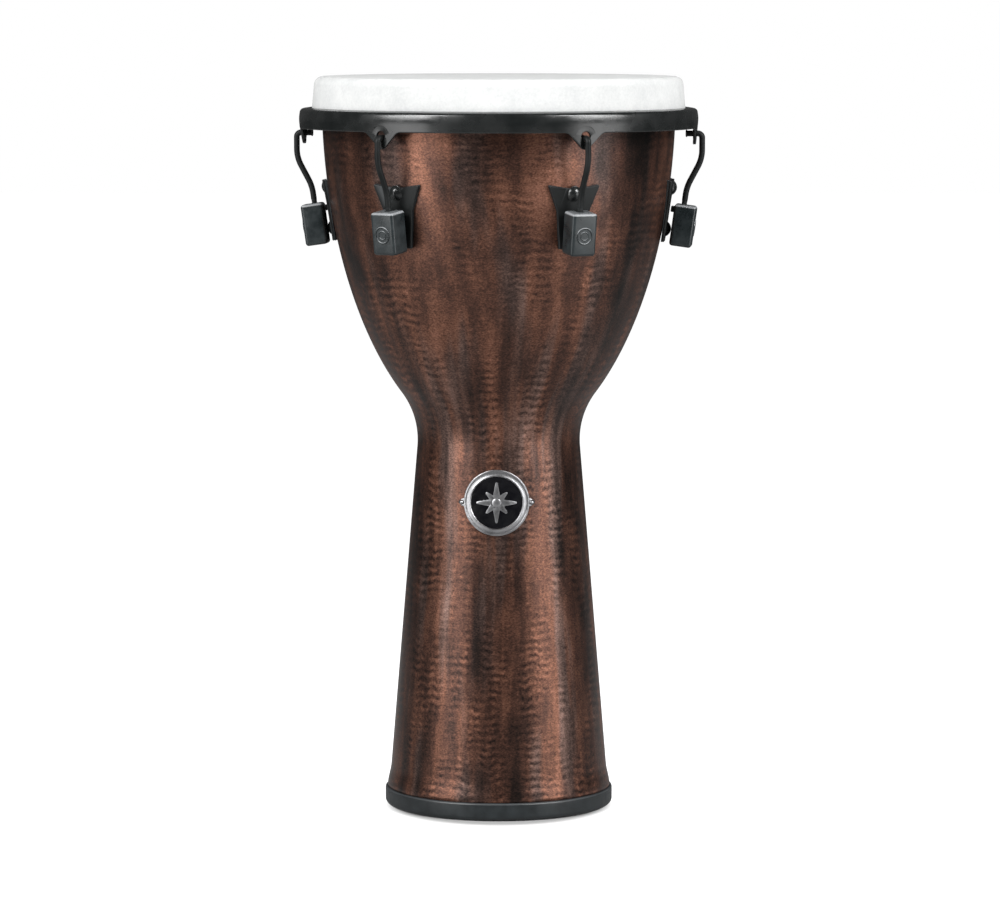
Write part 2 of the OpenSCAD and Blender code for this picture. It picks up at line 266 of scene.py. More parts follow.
def piece(name, mesh, material, body, nodes=(), sharp=32, extra=()):
    """Adds a mesh to the scene as a piece that rides on body and stands for the CAD nodes.

    Edges that turn by less than sharp degrees are smoothed, and extra holds materials for single faces.
    """
    obj = bpy.data.objects.new(name, mesh)
    mesh.name = name
    mesh.materials.clear()
    for m in (material, *extra):
        mesh.materials.append(m)
    mesh.polygons.foreach_set("use_smooth", [True] * len(mesh.polygons))
    mesh.set_sharp_from_angle(angle=math.radians(sharp))
    scene.collection.objects.link(obj)
    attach(obj, body)
    if nodes:
        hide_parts(*nodes)


def along_x(mesh):
    """A mesh made around +Z, turned to point along +X."""
    return moved(mesh, Matrix.Rotation(math.pi / 2, 4, "Y"))


def lug_turn(i):
    """Turns +X to lug i."""
    return Matrix.Rotation(math.radians(LUG_AZIMUTH + (i - 1) * 360 / LUGS - 90), 4, "Z")


def lug_place(i):
    """Places the lug's own frame: +X away from the shell, +Z up the rod."""
    lean = Matrix.Rotation(math.radians(ROD_LEAN), 4, "Y")
    return lug_turn(i) @ Matrix.Translation((LUG_R, 0, LUG_Z)) @ lean


# ---------- materials ----------

class Nodes:
    """A material's node tree, with short ways to add to it."""

    def __init__(self, name, **values):
        self.material = bpy.data.materials.new(name)
        self.material.use_nodes = True
        self.tree = self.material.node_tree
        self.tree.nodes.clear()
        self.shader = self.add("BsdfPrincipled")
        output = self.add("OutputMaterial")
        self.tree.links.new(self.shader.outputs[0], output.inputs["Surface"])
        self.at = self.add("TexCoord").outputs["Object"]
        self.set(**values)

    def add(self, kind, inputs=None, **settings):
        node = self.tree.nodes.new("ShaderNode" + kind)
        for key, value in settings.items():
            setattr(node, key, value)
        for key, value in (inputs or {}).items():
            self.feed(node.inputs[key], value)
        return node

    def feed(self, socket, value):
        if isinstance(value, bpy.types.NodeSocket):
            self.tree.links.new(value, socket)
        elif socket.type == "RGBA" and len(value) == 3:
            socket.default_value = (*value, 1)
        else:
            socket.default_value = value

    def set(self, **values):
        """Sets or links the shader's own sockets."""
        for key, value in values.items():
            self.feed(self.shader.inputs[key.replace("_", " ").title().replace("Ior", "IOR")], value)

    def math(self, operation, a, b=0.0):
        return self.add("Math", {0: a, 1: b}, operation=operation).outputs[0]

    def total(self, *terms):
        """The sum of values, each times its own share."""
        result = 0.0
        for value, share in terms:
            inputs = {0: value, 1: share, 2: result}
            result = self.add("Math", inputs, operation="MULTIPLY_ADD").outputs[0]
        return result

    def ranged(self, value, low, high, to_low=0.0, to_high=1.0):
        """value eased from low..high to to_low..to_high."""
        inputs = {"Value": value, "From Min": low, "From Max": high, "To Min": to_low, "To Max": to_high}
        return self.add("MapRange", inputs, interpolation_type="SMOOTHSTEP").outputs["Result"]

    def vector(self, x, y, z):
        return self.add("CombineXYZ", {0: x, 1: y, 2: z}).outputs[0]

    def scaled(self, vector, scale):
        """A vector times a vector, or a vector or colour times one number."""
        if isinstance(scale, tuple):
            return self.add("VectorMath", {0: vector, 1: scale}, operation="MULTIPLY").outputs[0]
        return self.add("VectorMath", {0: vector, "Scale": scale}, operation="SCALE").outputs[0]

    def noise(self, vector, scale, detail=2.0, roughness=0.5, distortion=0.0):
        inputs = {"Vector": vector, "Scale": scale, "Detail": detail}
        inputs.update({"Roughness": roughness, "Distortion": distortion})
        return self.add("TexNoise", inputs).outputs["Fac"]

    def ramp(self, value, stops):
        """Colours at places from 0 to 1."""
        node = self.add("ValToRGB", {"Fac": value})
        elements = node.color_ramp.elements
        while len(elements) < len(stops):
            elements.new(0.5)
        for element, (place, colour) in zip(elements, stops):
            element.position = place
            element.color = (*colour, 1)
        return node.outputs["Color"]

    def mix(self, share, a, b):
        """Colour a, or colour b where share is 1."""
        return self.add("Mix", {"Factor": share, 6: a, 7: b}, data_type="RGBA").outputs[2]

    def bump(self, height, distance):
        """Roughens the shader's normal by height, over a distance in millimetres."""
        inputs = {"Height": height, "Distance": distance * MM}
        self.set(normal=self.add("Bump", inputs).outputs[0])

    def around(self):
        """Each place moved in or out to a radius of 0.1 m from the Z axis, as x, y and z."""
        flat = self.scaled(self.at, (1.0, 1.0, 0.0))
        outward = self.add("VectorMath", {0: flat}, operation="NORMALIZE").outputs[0]
        turn = self.add("SeparateXYZ", {0: self.scaled(outward, 0.1)})
        return turn.outputs[0], turn.outputs[1], self.add("SeparateXYZ", {0: self.at}).outputs[2]


def shell_material():
    """Satin coppery figured finish: dark and copper streaks down the shell, with a broken cross ripple."""
    n = Nodes("shell_figured", metallic=0.85, specular_ior_level=0.4, coat_weight=0.15, coat_roughness=0.4)
    x, y, z = n.around()
    sway = 0.02
    drift = n.math("MULTIPLY", n.math("SUBTRACT", n.noise(n.vector(x, y, z), 6, 1), 0.5), sway)
    wx, wy = n.math("ADD", x, drift), n.math("SUBTRACT", y, drift)

    def streaks(scale, squash):
        """Noise drawn out up the drum, where a small squash makes long streaks."""
        level = n.math("ADD", n.math("MULTIPLY", z, squash), FIGURE_SLICE)
        return n.noise(n.vector(wx, wy, level), scale, 2)

    # Streaks of five widths, as (scale, squash, share)
    widths = ((20, 0.06, 0.34), (62, 0.10, 0.22), (150, 0.12, 0.13), (34, 0.6, 0.23), (85, 0.8, 0.08))
    streaked = n.total(*((streaks(scale, squash), share) for scale, squash, share in widths))

    # The ripple: short wavy bars in patches, broken where streaks meet and fainter up the bowl
    bar_gap = 6.8 * MM
    phase = n.total((z, 2 * math.pi / bar_gap), (streaks(95, 0.3), 8.0), (streaks(15, 1.0), 12.0))
    patches = n.ranged(streaks(40, 0.35), 0.40, 0.60)
    breaks = n.ranged(streaks(180, 0.7), 0.34, 0.60)
    ripple = n.math("MULTIPLY", n.math("SINE", phase), n.math("MULTIPLY", patches, breaks))
    ripple = n.math("MULTIPLY", ripple, n.ranged(z, 0.34, 0.48, 1.0, 0.65))

    # The metallic grain, brighter and darker around 0
    speckle = n.math("SUBTRACT", n.noise(n.scaled(n.at, (1.0, 1.0, 1.6)), 520, 3, 0.75), 0.5)

    figure = n.total((streaked, 1.0), (ripple, 0.024), (speckle, 0.14))
    colour = n.ramp(figure, [
        (0.37, (0.009, 0.007, 0.006)),
        (0.44, (0.033, 0.018, 0.014)),
        (0.51, (0.084, 0.038, 0.026)),
        (0.57, (0.155, 0.068, 0.043)),
        (0.66, (0.258, 0.117, 0.077)),
    ])
    grey = n.add("HueSaturation", {"Color": colour, "Saturation": 0.45, "Value": 0.70}).outputs[0]
    colour = n.mix(n.ranged(streaks(44, 0.12), 0.50, 0.66, 0.0, 0.60), colour, grey)
    light = n.math("ADD", n.total((ripple, 0.44), (speckle, 2.5)), 1.0)
    n.set(base_color=n.scaled(colour, light))
    n.set(roughness=n.ranged(figure, 0.38, 0.62, 0.28, 0.40))
    n.bump(n.total((ripple, 0.45), (speckle, 1.1)), 0.07)
    return n.material


def inside_material():
    """Rough fibreglass under a dark gel coat."""
    n = Nodes("shell_inside", specular_ior_level=0.4)
    strands = n.noise(n.at, 60, 4, 0.6, 3.0)
    spots = n.noise(n.at, 420, 3)
    n.set(base_color=n.ramp(strands, [(0.3, (0.018, 0.016, 0.015)), (0.7, (0.055, 0.047, 0.041))]))
    n.set(roughness=n.ranged(spots, 0.3, 0.7, 0.45, 0.75))
    n.bump(n.total((strands, 1.0), (spots, 0.4)), 0.6)
    return n.material


def film_material():
    """White moulded film with a faint mottled coating."""
    n = Nodes("head_film_white", specular_ior_level=0.06)
    cloud = n.noise(n.at, 45, 4, 0.65)
    grain = n.noise(n.at, 480, 3, 0.7)
    tone = n.total((cloud, 0.55), (grain, 0.45))
    n.set(base_color=n.ramp(tone, [(0.36, (0.450, 0.458, 0.458)), (0.60, (0.535, 0.540, 0.535))]))
    n.set(roughness=n.ranged(cloud, 0.3, 0.7, 0.64, 0.78))
    n.bump(grain, 0.03)
    return n.material


def coated_steel(name, shine, level):
    """Black coat on steel, thinner and lighter along its edges."""
    n = Nodes(name, specular_ior_level=level)
    cloud = n.noise(n.at, 55, 3)
    orange_peel = n.noise(n.at, 1100, 2)
    edge = n.ranged(n.add("NewGeometry").outputs["Pointiness"], 0.515, 0.60, 0.0, 0.75)
    base = n.ramp(cloud, [(0.3, (0.005, 0.006, 0.006)), (0.7, (0.010, 0.011, 0.011))])
    n.set(base_color=n.mix(edge, base, (0.055, 0.058, 0.060)))
    n.set(roughness=n.ranged(cloud, 0.3, 0.7, shine, shine + 0.10))
    n.bump(orange_peel, 0.02)
    return n.material


def rubber(name, dark, light, shine, top_highlight):
    """Moulded rubber with a dull bloom and fine grain, and a painted highlight on its upward faces."""
    n = Nodes(name, specular_ior_level=0.42)
    bloom = n.noise(n.at, 70, 4, 0.6)
    grain = n.noise(n.at, 1500, 2)
    spots = n.ranged(n.noise(n.at, 480, 2), 0.60, 0.72, 0.0, 0.35)
    base = n.mix(spots, n.ramp(bloom, [(0.32, dark), (0.70, light)]), light)
    # Painted highlight: faces that slope upwards are lightened towards a pale grey, less on flat tops, as
    # if lit from above. The last argument sets how strong it is.
    upward = n.add("SeparateXYZ", {0: n.add("NewGeometry").outputs["Normal"]}).outputs[2]
    tops = n.ranged(upward, 0.80, 0.97, 1.0, 0.4)
    painted_highlight = n.math("MULTIPLY", n.ranged(upward, 0.12, 0.50, 0.0, top_highlight), tops)
    n.set(base_color=n.mix(painted_highlight, base, (0.26, 0.27, 0.28)))
    n.set(roughness=n.ranged(bloom, 0.3, 0.7, shine, shine + 0.16))
    n.bump(grain, 0.04)
    return n.material


def bare_metal(name, colour, roughness, brushing=(1.0, 1.0, 1.0)):
    """Bare or plated metal with a brushed grain and slight stains."""
    n = Nodes(name, metallic=1.0)
    stain = n.noise(n.at, 90, 3)
    grain = n.noise(n.scaled(n.at, brushing), 900, 2)
    dull = tuple(0.72 * c for c in colour)
    n.set(base_color=n.mix(n.ranged(stain, 0.42, 0.68), colour, dull))
    n.set(roughness=n.ranged(grain, 0.3, 0.7, roughness - 0.06, roughness + 0.10))
    n.bump(grain, 0.015)
    return n.material


def gloss_black():
    """Glossy black enamel with faint waviness."""
    n = Nodes("badge_enamel", specular_ior_level=0.30, coat_weight=0.2, coat_roughness=0.08)
    cloud = n.noise(n.at, 150, 2)
    n.set(base_color=n.ramp(cloud, [(0.3, (0.002, 0.002, 0.003)), (0.7, (0.005, 0.005, 0.006))]))
    n.set(roughness=n.ranged(cloud, 0.3, 0.7, 0.16, 0.26))
    n.bump(cloud, 0.05)
    return n.material


SHELL = shell_material()
INSIDE = inside_material()
FILM = film_material()
STEEL = coated_steel("black_satin_steel", 0.20, 0.5)
MATT_STEEL = coated_steel("black_matt_steel", 0.42, 0.14)
# The last number of each rubber sets the strength of its painted highlight on upward faces
BOOT = rubber("boot_rubber_grey", (0.006, 0.009, 0.010), (0.020, 0.026, 0.028), 0.24, 0.9)
FOOT = rubber("foot_rubber_black", (0.005, 0.007, 0.008), (0.015, 0.019, 0.021), 0.30, 0.12)
ALLOY = bare_metal("channel_aluminium", (0.62, 0.63, 0.64), 0.36, (1.0, 1.0, 6.0))
ZINC = bare_metal("zinc_plated_steel", (0.58, 0.58, 0.55), 0.32)
SILVER = bare_metal("badge_silver_plate", (0.34, 0.34, 0.35), 0.33, (1.0, 1.0, 3.0))
ENAMEL = gloss_black()


# ---------- shell, foot and head ----------

def build_shell():
    """The moulded goblet. Its profile runs down the outside, under the foot and back up the inside."""
    top, edge_r, inner_edge_r = 624.1, 2.4, 1.5
    seat_z, seat_r, ring_top, overhang = 4, 94.6, 15.6, 0.5
    flare_top, flare_low, flare_out, flare_steps = 34, 16.8, 1.7, 10
    flare = []
    for k in range(flare_steps + 1):
        z = flare_top + (flare_low - flare_top) * k / flare_steps
        grow = flare_out * smooth_step((flare_top - z) / (flare_top - flare_low))
        flare.append((leg_radius(z) + grow, z))
    flare_r = flare[-1][0]
    outer = arc(BOWL_R - edge_r, top - edge_r, edge_r, 90, 0, 6) + wall_line(0, 60)
    outer += line(outer[-1], flare[0], 40)[1:] + flare
    foot = [(flare_r - overhang, ring_top), (seat_r, ring_top), (seat_r, seat_z)]
    inner_low = (leg_radius(seat_z) - WALL * math.hypot(1, LEG_TAPER), seat_z)
    inner = wall_line(WALL, 40)
    inside = line(inner_low, inner[-1], 16) + inner[::-1]
    rim = arc(BOWL_R - WALL + inner_edge_r, top - inner_edge_r, inner_edge_r, 180, 90, 4)
    mesh = revolve(outer + foot + inside + rim, 288)
    piece("moulded_shell", mesh, SHELL, "shell_body", ["shell"], extra=[INSIDE])

    # The faces that look at the axis, up to the rim's rounded edge, get the rough inside finish
    inside_top, looks_in = 622, -0.3
    for face in mesh.polygons:
        outward = Vector((face.center.x, face.center.y, 0)).normalized()
        if face.normal.dot(outward) < looks_in and face.center.z < inside_top * MM:
            face.material_index = 1


def build_foot_ring():
    """The rubber ring, with a groove that the shell's lower edge stands in."""
    ring_r, ring_h, seat_r, seat_z, lip_r, inner_r = 97.7, 15.4, 94.7, 3.9, 88, 85.4
    low_edge_r, top_edge_r, inner_edge_r, lip_drop = 4.5, 1.9, 1, 2
    profile = arc(inner_r + inner_edge_r, inner_edge_r, inner_edge_r, 180, 270, 5)
    profile += line(profile[-1], (ring_r - low_edge_r, 0), 3)[1:]
    profile += arc(ring_r - low_edge_r, low_edge_r, low_edge_r, -90, 0, 10)
    profile += arc(ring_r - top_edge_r, ring_h - top_edge_r, top_edge_r, 0, 90, 7)
    profile += [(seat_r, ring_h), (seat_r, seat_z), (lip_r, seat_z)]
    profile += arc((lip_r + inner_r) / 2, ring_h - lip_drop, (lip_r - inner_r) / 2, 0, 180, 8)
    piece("rubber_foot_ring", revolve(profile, 256), FOOT, "shell_body", ["foot_ring"])


def build_head():
    """The moulded film: a flat playing surface, a rounded crown and a collar that draws in towards it."""
    film, crown_r, draw, low, shoulder = 0.8, 7.4, 1.6, 585, 600
    flat_r = HEAD_R - draw - crown_r
    centre = (flat_r, DRUM_H - crown_r)
    outer = line((0, DRUM_H), (flat_r, DRUM_H), 18) + arc(*centre, crown_r, 90, 0, 14)
    outer += line(outer[-1], (HEAD_R, shoulder), 6)[1:] + line((HEAD_R, shoulder), (HEAD_R, low), 4)
    inner = [(HEAD_R, low), (HEAD_R - film, low), (HEAD_R - film, shoulder)]
    inner += arc(*centre, crown_r - film, 0, 90, 14) + [(0, DRUM_H - film)]
    mesh = revolve(outer + inner, 256)
    piece("moulded_drumhead", mesh, FILM, "shell_body", ["drumhead"])


def build_flesh_hoop():
    """The aluminium channel around the film's lower edge, open at the top."""
    gap, width, height, wall, top, edge_r = 0.6, 6.4, 9.6, 1.6, 594.7, 0.35
    inner, low = HEAD_R + gap, top - height
    outline = [(inner, low), (inner + width, low), (inner + width, top), (inner + width - wall, top)]
    outline += [(inner + width - wall, low + wall), (inner + wall, low + wall)]
    outline += [(inner + wall, top), (inner, top)]
    mesh = revolve(rounded(outline, edge_r, 3), 240)
    piece("flesh_channel", mesh, ALLOY, "tuning_hoop", ["flesh_hoop"])


# ---------- counterhoop ----------

def hoop_out(z):
    """The radius of the band's outer face at height z."""
    return HOOP_OUT + HOOP_LEAN * (z - HOOP_LOW)


def ear_low(y):
    """Height of the hoop's lower edge at a distance y across from the middle of an ear."""
    y = abs(y)
    slope = EAR_TIP_R * math.sqrt(0.5)
    tip_z = HOOP_LOW - EAR_DROP + EAR_TIP_R
    fillet_y = slope + (HOOP_LOW - tip_z + slope) + EAR_FILLET * math.tan(math.pi / 8)
    if y < slope:
        return tip_z - math.sqrt(EAR_TIP_R**2 - y * y)
    if y < fillet_y - EAR_FILLET * math.sqrt(0.5):
        return tip_z - slope + (y - slope)
    if y < fillet_y:
        return HOOP_LOW - EAR_FILLET + math.sqrt(EAR_FILLET**2 - (fillet_y - y) ** 2)
    return HOOP_LOW


def hoop_section(y):
    """The hoop's closed section where its lower edge is ear_low(y), with a slightly rolled upper face."""
    shoulder_r, corner, rows = 3.5, 0.6, 12
    roll_low, roll = 586.5, 1.15
    flange_in, flange_rise, hollow, bevel = HEAD_R + 0.55, 0.8, 1.2, 0.4
    low, middle = ear_low(y), HOOP_LOW + 3
    turn_z = HOOP_TOP - shoulder_r
    turn_r = hoop_out(turn_z) - shoulder_r
    lip = (flange_in + HOOP_T / 2, HOOP_TOP + flange_rise - HOOP_T / 2)
    under_r, under_z = hoop_out(turn_z) - HOOP_T, HOOP_TOP - HOOP_T
    outer_low = hoop_out(low)
    section = arc(outer_low - HOOP_T + corner, low + corner, corner, 180, 270, 3)
    section += arc(outer_low - corner, low + corner, corner, 270, 360, 3)
    section += line((hoop_out(low + corner), low + corner), (hoop_out(middle), middle), rows)[1:]
    section += line((hoop_out(middle), middle), (hoop_out(roll_low), roll_low), 2)
    for z in np.linspace(roll_low, turn_z, 9)[:-1]:
        section.append((hoop_out(z) - roll * ((z - roll_low) / (turn_z - roll_low)) ** 2, z))
    section += arc(turn_r - roll, turn_z, shoulder_r, 14, 84, 9)
    section += arc(*lip, HOOP_T / 2, 80, 260, 8)
    section += [(under_r - hollow, under_z), (under_r - bevel, under_z - bevel)]
    inner_middle = (hoop_out(middle) - HOOP_T, middle)
    section += line((under_r, under_z - hollow), inner_middle, 4)
    section += line(inner_middle, (hoop_out(low + corner) - HOOP_T, low + corner), rows)
    return section


def ear_drill():
    """A cutter along +X for an ear's hole with flared ends, centred in the band's thickness."""
    half_t, flare, wide_r, inwards, outwards = HOOP_T / 2, 0.6, 9, 12, 8
    waist = arc(EAR_HOLE_R + flare, half_t - flare, flare, 180, 90, 4)
    profile = [(0, -inwards), (wide_r, -inwards), (wide_r, -half_t), *[(r, -x) for r, x in waist[::-1]]]
    profile += [*waist, (wide_r, half_t), (wide_r, outwards), (0, outwards)]
    return along_x(revolve(profile, 48))


def build_counterhoop():
    """A skin over the hoop's sections, close together across an ear and further apart between the ears."""
    near, near_step, far, beyond_ear = 25, 0.8, 16, 100
    across = [near_step * k for k in range(near)]
    turns = [math.degrees(math.asin(y / HOOP_OUT)) for y in across]
    last, halfway = turns[-1], 180 / LUGS
    turns += [last + (halfway - last) * k / far for k in range(1, far + 1)]
    half = list(zip(turns, across + [beyond_ear] * far))
    columns = [(-turn, y) for turn, y in half[:0:-1]] + half[:-1]
    rings = []
    for i in range(1, LUGS + 1):
        for turn, y in columns:
            spin = lug_turn(i) @ Matrix.Rotation(math.radians(turn), 4, "Z")
            rings.append([spin @ Vector((r, 0, z)) for r, z in hoop_section(y)])
    mesh = loft(rings, wrap=True)
    drill = ear_drill()
    for i in range(1, LUGS + 1):
        hole = lug_turn(i) @ Matrix.Translation((hoop_out(EAR_HOLE_Z) - HOOP_T / 2, 0, EAR_HOLE_Z))
        mesh = combined(mesh, moved(drill, hole), "DIFFERENCE")
    piece("steel_counterhoop", mesh, STEEL, "tuning_hoop", ["counterhoop"])


# ---------- tuning gear ----------

def rod_path():
    """(x, z, heading) along the rod, about a millimetre apart, with heading in degrees below +X."""
    drop, upper_r, slant, lower_r = 10.2, 30, 13.8, 36
    thread_above_shelf = 9
    x, z, heading = HOOK_IN, HOOK_Z, 0.0
    path = [(x, z, heading)]

    def run(length):
        nonlocal x, z
        steps = max(2, round(length))
        for _ in range(steps):
            x += length / steps * math.cos(math.radians(heading))
            z -= length / steps * math.sin(math.radians(heading))
            path.append((x, z, heading))

    def bend(radius, turn):
        nonlocal x, z, heading
        steps = max(6, round(abs(turn) / 3))
        for _ in range(steps):
            half = math.radians(turn / steps / 2)
            heading += turn / steps / 2
            chord = 2 * radius * abs(math.sin(half))
            x += chord * math.cos(math.radians(heading))
            z -= chord * math.sin(math.radians(heading))
            heading += turn / steps / 2
            path.append((x, z, heading))

    run(ROD_OUT - HOOK_TURN - HOOK_IN)
    bend(HOOK_TURN, 90)
    run(drop)
    bend(upper_r, ROD_S_LEAN)
    run(slant)
    bend(lower_r, ROD_LEAN - ROD_S_LEAN)
    run((z - LUG_Z) / math.cos(math.radians(ROD_LEAN)) - thread_above_shelf)
    return path


def rod_mesh():
    """The rod on the +X side: a peened end, the hook, the S-curve, and the thread inside the lug."""
    sides, pitch, depth = 20, 0.8, 0.44
    thread_l, per_turn = 31.0, 5
    run_in, run_out, tip = 1.5, 0.6, 0.5
    angles = [2 * math.pi * k / sides for k in range(sides)]

    def ring(x, z, heading, radius):
        h = math.radians(heading)
        across = Vector((math.sin(h), 0, math.cos(h)))
        r = [radius(a) if callable(radius) else radius for a in angles]
        return [Vector((x, 0, z)) + q * (math.cos(a) * across + math.sin(a) * Vector((0, 1, 0)))
                for q, a in zip(r, angles)]

    path = rod_path()
    x, z, heading = path[0]
    peen = [(0.0, 2.4), (0.25, 2.9), (0.6, 3.1), (1.1, 3.05), (1.4, 2.8), (1.5, ROD_R)]
    rings = [ring(x + along, z, heading, r) for along, r in peen]
    # The peened end takes up the path's first two points
    rings += [ring(px, pz, h, ROD_R) for px, pz, h in path[2:]]
    x, z, heading = path[-1]
    direction = Vector((math.cos(math.radians(heading)), 0, -math.sin(math.radians(heading))))
    count = round(thread_l / pitch * per_turn)
    for k in range(1, count + 1):
        along = thread_l * k / count
        fade = min(1, along / run_in) * min(1, (thread_l - along) / run_out)

        def radius(a, along=along, fade=fade):
            tooth = abs(2 * ((along / pitch + a / (2 * math.pi)) % 1) - 1)
            return ROD_R - fade * depth * tooth - (tip if along > thread_l - tip else 0)

        p = Vector((x, 0, z)) + along * direction
        rings.append(ring(p.x, p.z, heading, radius))
    return loft(rings)


def build_rods():
    master = rod_mesh()
    for i in range(1, LUGS + 1):
        mesh = moved(master, lug_turn(i))
        piece(f"hooked_rod_{i}", mesh, MATT_STEEL, "tuning_hoop", [f"tuning_rod_{i}"], 50)


def bracket_mesh():
    """The lug's butterfly plate and its shelf, in the lug's own frame."""
    foot, waist, wing, dip = (10.7, -28.8), (14.3, 2.5), (23.4, 25), [(8, 22.8), (5, 22.3)]
    half = [foot, waist, wing, *dip]
    corners = half + [(-y, z) for y, z in half[::-1]]
    # The slab's x, y and z become the lug's y, z and x
    upright = Matrix(((0, 0, 1, 0), (1, 0, 0, 0), (0, 1, 0, 0), (0, 0, 0, 1)))
    edge, plate_corner = 0.6, 1.2
    plate = moved(slab(rounded(corners, plate_corner), PLATE_X - PLATE_T, PLATE_X, edge), upright)

    # The shelf starts inside the plate, and its hole is cut past both faces
    tip, half_w, half_t, shelf_corner, hole_r = 7.8, 7, 2.5, 3.5, 3.4
    back, past = PLATE_X - PLATE_T / 2, half_t + 1.5
    outline = rounded([(back, -half_w), (tip, -half_w), (tip, half_w), (back, half_w)], shelf_corner, 6)
    hole = arc(0, 0, hole_r, 0, 360, 32)[:-1]
    shelf = combined(slab(outline, -half_t, half_t, edge), slab(hole, -past, past, 0.1, 1), "DIFFERENCE")
    return combined(plate, shelf, "UNION")


def boot_mesh():
    """The rubber cap over the nut, open at the back, with two plain moulded rings on its outward face."""
    out, depth, width, low, high, edge_r = 11.3, 19, 22.5, -30.5, 5.0, 2.6
    wall, cavity_w, cavity_top, cavity_edge_r, slot_r = 3, 14.8, 2.8, 1.0, 3.5
    rings_z, sunk = -13.5, 0.1
    inner = out - depth
    past = inner - 6
    mesh = rounded_box((inner, -width / 2, low), (out, width / 2, high), edge_r, 6)
    cavity_low, cavity_high = (past, -cavity_w / 2, low + wall), (out - wall, cavity_w / 2, cavity_top)
    mesh = combined(mesh, rounded_box(cavity_low, cavity_high, cavity_edge_r, 3), "DIFFERENCE")
    slot = [(past, -slot_r), *arc(0, 0, slot_r, -90, 90, 16), (past, slot_r)]
    mesh = combined(mesh, slab(slot, 1, high + 3, 0.1, 1), "DIFFERENCE")
    for radius, thick in ((6.6, 0.75), (3.4, 0.5)):
        section = [(radius + dx, dz) for dx, dz in arc(0, -sunk, thick, 0, 360, 12)[:-1]]
        ring = along_x(revolve(section, 64))
        mesh = combined(mesh, moved(ring, Matrix.Translation((out, 0, rings_z))), "UNION")
    return mesh


def bolt_mesh():
    """A domed bolt along +X, whose head sits on the lug's plate."""
    head_r, head_h, shank_r, shank_l, tip = 6.5, 4, 3, 19, 0.5
    dome_r = (head_r**2 + head_h**2) / 2 / head_h
    edge = math.degrees(math.acos(head_r / dome_r))
    profile = [(0, -shank_l), (shank_r - tip, -shank_l), (shank_r, -shank_l + tip), (shank_r, 0)]
    profile += [(head_r - 0.3, 0), (head_r, 0.25)]
    profile += arc(0, head_h - dome_r, dome_r, edge + 3, 90, 10)
    return along_x(revolve(profile, 48))


def build_lugs():
    """Each lug's plate and boot, and one piece for all the bolts, whose heads just clear the plates."""
    bracket, boot, bolt = bracket_mesh(), boot_mesh(), bolt_mesh()
    clear = 0.02
    bolts = []
    for i in range(1, LUGS + 1):
        place = lug_place(i)
        plate_name, plate_nodes = f"butterfly_plate_{i}", [f"lug_bracket_{i}"]
        boot_name, boot_nodes = f"rubber_boot_{i}", [f"lug_boot_{i}"]
        piece(plate_name, moved(bracket, place), MATT_STEEL, "shell_body", plate_nodes)
        piece(boot_name, moved(boot, place), BOOT, "shell_body", boot_nodes, 40)
        for z in (-BOLT_Z, BOLT_Z):
            bolts.append(moved(bolt, place @ Matrix.Translation((PLATE_X + clear, 0, z))))
    piece("domed_bolts", joined(bolts), STEEL, "shell_body", ["lug_bolts"])


# ---------- badge ----------

def on_leg(mesh):
    """Wraps a flat mesh, x across, y up and z out of the surface, onto the front of the leg."""
    turn = Matrix.Rotation(math.radians(BADGE_AZIMUTH - 90), 4, "Z")
    for v in mesh.vertices:
        across, up, out = v.co / MM
        z = BADGE_Z + up
        radius = leg_radius(z) + out
        v.co = turn @ Vector((math.sqrt(radius**2 - across**2), across, z)) * MM
    mesh.update()
    return mesh


def build_badge_rim():
    """The silver rim, with a raised edge and an inner bead, and an ear for a nail at each side."""
    rim_r, insert_r, top, edge_r = 27.8, 21.8, 1.8, 0.5
    profile = [(insert_r, BADGE_SEAT), (rim_r, BADGE_SEAT)]
    profile += arc(rim_r - edge_r, top - edge_r, edge_r, 0, 90, 4)
    profile += arc(rim_r - 1.3, top - edge_r, edge_r, 90, 180, 4)
    profile += [(25.9, 1.15), (25.4, 1.05), (23.4, 1.45)]
    profile += arc(22.7, 1.2, 0.5, 80, 180, 5) + [(insert_r, 0.8)]
    rim = revolve(profile, 144)

    root_r, neck_r, ear_top = 26.0, 29.6, 1.25
    ear = [(root_r, -4.0), (neck_r, -2.9), *arc(30.1, 0, 2.15, -70, 70, 8), (neck_r, 2.9), (root_r, 4.0)]
    for side in (-1, 1):
        outline = [(side * x, y) for x, y in ear][::side]
        rim = combined(rim, slab(outline, BADGE_SEAT, ear_top, 0.4), "UNION")
    piece("badge_rim_plate", on_leg(rim), SILVER, "shell_body", ["badge_rim"])


def build_badge_disc():
    """The dark disc, whose face has rings of points so that it can bend around the leg."""
    disc_r, face, edge = 21.7, 0.9, 0.2
    profile = [(0, BADGE_SEAT), (disc_r, BADGE_SEAT), (disc_r, face - edge), (disc_r - edge, face)]
    profile += [(r, face) for r in (18, 12, 6, 0)]
    disc = on_leg(revolve(profile, 144))
    piece("badge_dark_disc", disc, ENAMEL, "shell_body", ["badge_disc"])


def build_badge_sunburst():
    """A plain sunburst: a low boss with long and short rays in turn."""
    low, high, rays, root_r = 0.85, 1.35, 8, 4.6
    long, short = (17.6, 2.3), (12.6, 1.9)
    parts = [revolve([(0, low), (3.8, low), (3.8, 1.15), (3.5, high), (0, 1.6)], 48)]
    for k in range(rays):
        reach, half_w = short if k % 2 else long
        ray = rounded([(root_r, -half_w), (reach, 0), (root_r, half_w)], 0.25, 3)
        turn = Matrix.Rotation(math.radians(360 / rays * k), 4, "Z")
        parts.append(moved(slab(ray, low, high, 0.2, 2), turn))
    piece("badge_sunburst", on_leg(joined(parts)), SILVER, "shell_body")


